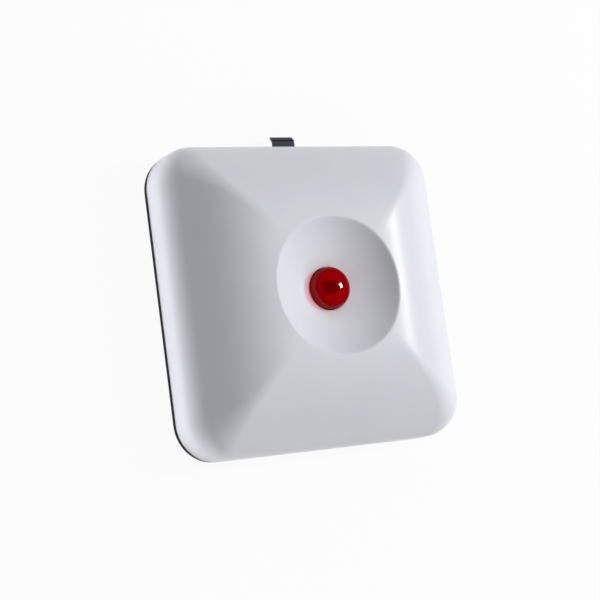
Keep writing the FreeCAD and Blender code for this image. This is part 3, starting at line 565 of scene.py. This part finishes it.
base_black = moulded("base_black", shade(12, 14, 26), shade(18, 20, 32), 0.6, 0.0, 0.000012)
spacer_black = moulded("spacer_black", shade(24, 24, 26), shade(34, 34, 36), 0.5, 0.0, 0.000008)
clip_black = black_steel("clip_black")
dress(base_black, "base")
dress(clip_black, "latch_clip")
dress(spacer_black, "led_spacer")

# %% [markdown]
# ## The pieces inside
#
# Nothing inside shows while the cover is on, apart from the diode lamp behind the lens, but each piece
# has the finish that it would have on a bench: green board, tinned wires, plated cages, striped
# resistors, and diodes with a pale ring at one end.

# %% Finishes of the inner pieces
def plated(name, colour, other, roughness):
    """Bare or plated metal with a cloudy sheen."""
    finish = Finish(name)
    cloud = finish.noise(900.0)
    shader = finish.node("ShaderNodeBsdfPrincipled", {
        "Base Color": finish.blend(cloud, colour, other),
        "Metallic": 1.0,
        "Roughness": roughness + cloud * 0.12,
        "Normal": finish.grain(cloud, 0.000004),
    })
    return finish.close(shader)


def band(finish, position, centre, width):
    """1 inside a band of the given width about a centre, else 0."""
    away = finish.node("ShaderNodeMath", {0: position - centre}, operation="ABSOLUTE")
    return finish.node("ShaderNodeMath", {0: away, 1: width / 2}, operation="LESS_THAN")


def striped(name, body, stripe, centres, width):
    """Coated body whose stripes lie across the direction in which the part lies, Y."""
    finish = Finish(name)
    cloud = finish.noise(700.0)
    position = finish.node("ShaderNodeSeparateXYZ", {0: finish.place()}, output=1)
    colour = finish.blend(cloud * 0.3, body, shade(120, 110, 100))
    for centre in centres:
        colour = finish.blend(band(finish, position, centre, width), colour, stripe)
    shader = finish.node("ShaderNodeBsdfPrincipled", {
        "Base Color": colour,
        "Roughness": 0.32 + cloud * 0.1,
        "Normal": finish.grain(cloud, 0.000006),
    })
    return finish.close(shader)


def lacquered_board(name):
    """Green lacquer over the weave of a glass cloth."""
    finish = Finish(name)
    cloud = finish.noise(120.0)
    threads = {"Vector": finish.place(), "Scale": 420.0, "Distortion": 0.6}
    across = finish.node("ShaderNodeTexWave", threads, output=1)
    along = finish.node("ShaderNodeTexWave", threads, output=1, bands_direction="Y")
    weave = (across + along) * 0.5
    shader = finish.node("ShaderNodeBsdfPrincipled", {
        "Base Color": finish.blend(cloud, shade(22, 96, 52), shade(30, 110, 60)),
        "Roughness": 0.28 + weave * 0.1,
        "Coat Weight": 0.4,
        "Normal": finish.grain(weave, 0.000008),
    })
    return finish.close(shader)


dress(lacquered_board("board_green"), "circuit_board")
screw_steel = plated("screw_steel", shade(196, 198, 202), shade(176, 178, 184), 0.24)
cage_nickel = plated("cage_nickel", shade(206, 202, 190), shade(188, 184, 172), 0.22)
lead_tin = plated("lead_tin", shade(205, 207, 210), shade(186, 188, 192), 0.3)
ring_natural = moulded("ring_natural", shade(222, 222, 214), shade(212, 212, 204), 0.42, 0.0, 0.000006)
terminal_grey = moulded("terminal_grey", shade(128, 134, 140), shade(118, 124, 130), 0.4, 0.1, 0.000008)
dress(screw_steel, "latch_screw", "board_screws", "terminal_screws")
dress(cage_nickel, "wire_clamp_1", "wire_clamp_2", "wire_clamp_3", "wire_clamp_4")
dress(lead_tin, "led_leads", "resistor_leads", "diode_leads", "terminal_pins")
dress(ring_natural, "lens_ring")
dress(terminal_grey, "terminal_housing")

# %% Resistors and diodes
STRIPE_SHARES = (0.3, 0.42, 0.54, 0.72)
STRIPE = 0.0005
RING_INSET = 0.001
RING = 0.0007

low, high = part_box("resistor_1")
stripes = [float(low[1]) + float(high[1] - low[1]) * share for share in STRIPE_SHARES]
resistor_body = striped("resistor_body", shade(196, 168, 120), shade(120, 60, 26), stripes, STRIPE)
dress(resistor_body, "resistor_1", "resistor_2")

ring = float(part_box("diode_1")[1][1]) - RING_INSET
diode_body = striped("diode_body", shade(30, 30, 32), shade(214, 214, 216), [ring], RING)
dress(diode_body, "diode_1", "diode_2", "diode_3", "diode_4")

# %% [markdown]
# ## The diode lamp
#
# Behind the lens stands a five millimetre diode lamp of red resin: a barrel with a round tip on a
# wider foot. The dark heart of the lens is its shade, painted into the lens colour, and the lamp still
# gets a fine surface of its own.

# %% Diode lamp
low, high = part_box("led")
LED_R = 0.0025
LED_FOOT_R = 0.0029
LED_FOOT_RISE = 0.001
LED_COLUMNS = 64
led_top, led_foot = float(high[2]), float(low[2])

resin, other_resin, deep_resin = shade(150, 6, 10), shade(120, 4, 8), shade(90, 2, 6)
led_red = tinted("led_red", resin, other_resin, deep_resin, 0.4, 0.06, shade(220, 60, 60))
sweep = np.linspace(0, math.pi / 2, 17)[1:]
led_rings = [(LED_R * math.sin(a), led_top - LED_R + LED_R * math.cos(a)) for a in sweep]
step_z = led_foot + LED_FOOT_RISE
led_rings += [(LED_R, step_z), (LED_FOOT_R, step_z), (LED_FOOT_R, led_foot)]
led_points, led_faces = closed_shell(led_rings, LED_COLUMNS, led_top, led_foot)
piece("led_lamp", led_points, led_faces, led_red, "led_red", "led")

# %% [markdown]
# ## Floor
#
# The lamp lies on its back on a white floor. A camera ray sees the floor almost as pure white, and so
# do reflections, while the rest of the light treats it as a matt white surface. A share of the matt
# surface is left in what the camera sees, which keeps the soft shadow under the lamp.

# %% Floor
SEEN_WHITE = 0.94


def white_floor():
    """Matt white that the camera and reflections see almost as pure white."""
    finish = Finish("white_floor")
    seen = finish.ray("Is Camera Ray") + finish.ray("Is Glossy Ray") + finish.ray("Is Transmission Ray")
    cloud = finish.noise(3.0)
    tone = finish.blend(cloud, shade(240, 240, 242), shade(238, 238, 240))
    matt = finish.node("ShaderNodeBsdfDiffuse", {"Color": tone})
    white = finish.node("ShaderNodeEmission", {"Color": (1, 1, 1, 1), "Strength": 1.0})
    return finish.close(finish.mix(seen * SEEN_WHITE, matt, white))


FLOOR_HALF = 6.0
corners = np.array([[-1, -1, 0], [1, -1, 0], [1, 1, 0], [-1, 1, 0]]) * FLOOR_HALF
floor_mesh = bpy.data.meshes.new("floor")
floor_mesh.from_pydata(corners.tolist(), [], [[0, 1, 2, 3]])
floor_mesh.materials.append(white_floor())
floor = bpy.data.objects.new("floor", floor_mesh)
bpy.context.collection.objects.link(floor)

# %% [markdown]
# ## Light
#
# The photograph tells where its light comes from. The bright wedge beside the dish and the spark on the
# lens are mirror pictures of one small, strong lamp on the right, so the key stands there. Two large
# and weak lamps reach the upper and the lower face, and another reaches the left face from below. The
# left wall is far lighter than the face above it. Only light from the floor does that, so a narrow
# panel of light lies on the floor beside the wall, too low for the face to see it.
#
# The camera doesn't see the lamps, and only the key shows in reflections, because the others would
# leave pale patches on the lens. The world is white for the camera alone and gives no light.

# %% Lamps
def aim(obj, place, target):
    """Set an object at a place with its -Z axis towards a target."""
    back = (np.array(place) - np.array(target)).astype(float)
    back /= np.linalg.norm(back)
    side = np.cross((0.0, 0.0, 1.0) if abs(back[2]) < 0.99 else (0.0, 1.0, 0.0), back)
    side /= np.linalg.norm(side)
    matrix = np.eye(4)
    matrix[:3, 0], matrix[:3, 1], matrix[:3, 2] = side, np.cross(back, side), back
    matrix[:3, 3] = place
    obj.matrix_world = Matrix(matrix.tolist())


MIDDLE = (0.0, 0.0, 0.012)
# place, target, width, height in metres, power in watts
LAMPS = {
    "key_right": ((0.74, 0.14, 0.66), MIDDLE, 0.18, 0.15, 5.85),
    "fill_below": ((0.62, -0.60, 0.52), MIDDLE, 0.90, 0.60, 3.35),
    "fill_above": ((0.05, 0.82, 0.57), MIDDLE, 1.80, 0.50, 3.9),
    "fill_left": ((-0.72, -0.51, 0.47), MIDDLE, 0.60, 0.60, 2.15),
    "panel_left": ((-0.055, 0.0, 0.0006), (-0.055, 0.0, 1.0), 0.024, 0.17, 0.0205),
}
for name, (place, target, width, height, power) in LAMPS.items():
    light = bpy.data.lights.new(name, "AREA")
    light.shape = "RECTANGLE"
    light.size = width
    light.size_y = height
    light.energy = power
    lamp = bpy.data.objects.new(name, light)
    bpy.context.collection.objects.link(lamp)
    aim(lamp, place, target)
    lamp.visible_camera = False
    lamp.visible_glossy = name == "key_right"

world = bpy.data.worlds.new("studio")
world.use_nodes = True
background = world.node_tree.nodes["Background"]
background.inputs["Color"].default_value = (1.0, 1.0, 1.0, 1.0)
path = world.node_tree.nodes.new("ShaderNodeLightPath")
world.node_tree.links.new(path.outputs["Is Camera Ray"], background.inputs["Strength"])
bpy.context.scene.world = world
print("lamps:", ", ".join(LAMPS))

# %% [markdown]
# ## Camera
#
# The view is from the front, a little from the left and below, through a long lens, as the
# photograph shows the lamp. The three directions of the camera and its place were fitted to the
# outline of the cover, the rim of the dish and the lens.

# %% Camera
CAMERA_PLACE = np.array([-0.20479, -0.05334, 0.35803])
CAMERA_BACK = np.array([-0.4948, -0.12838, 0.85947])
CAMERA_UP = np.array([0.05373, 0.98262, 0.1777])
FOCAL = 91.7
SENSOR = 36.0

view = bpy.data.cameras.new("view")
view.lens = FOCAL
view.sensor_width = SENSOR
view.sensor_fit = "HORIZONTAL"
camera = bpy.data.objects.new("view", view)
bpy.context.collection.objects.link(camera)
back = CAMERA_BACK / np.linalg.norm(CAMERA_BACK)
side = np.cross(CAMERA_UP, back)
side /= np.linalg.norm(side)
matrix = np.eye(4)
matrix[:3, 0], matrix[:3, 1], matrix[:3, 2] = side, np.cross(back, side), back
matrix[:3, 3] = CAMERA_PLACE
camera.matrix_world = Matrix(matrix.tolist())
bpy.context.scene.camera = camera
bpy.context.scene.view_settings.view_transform = "Standard"
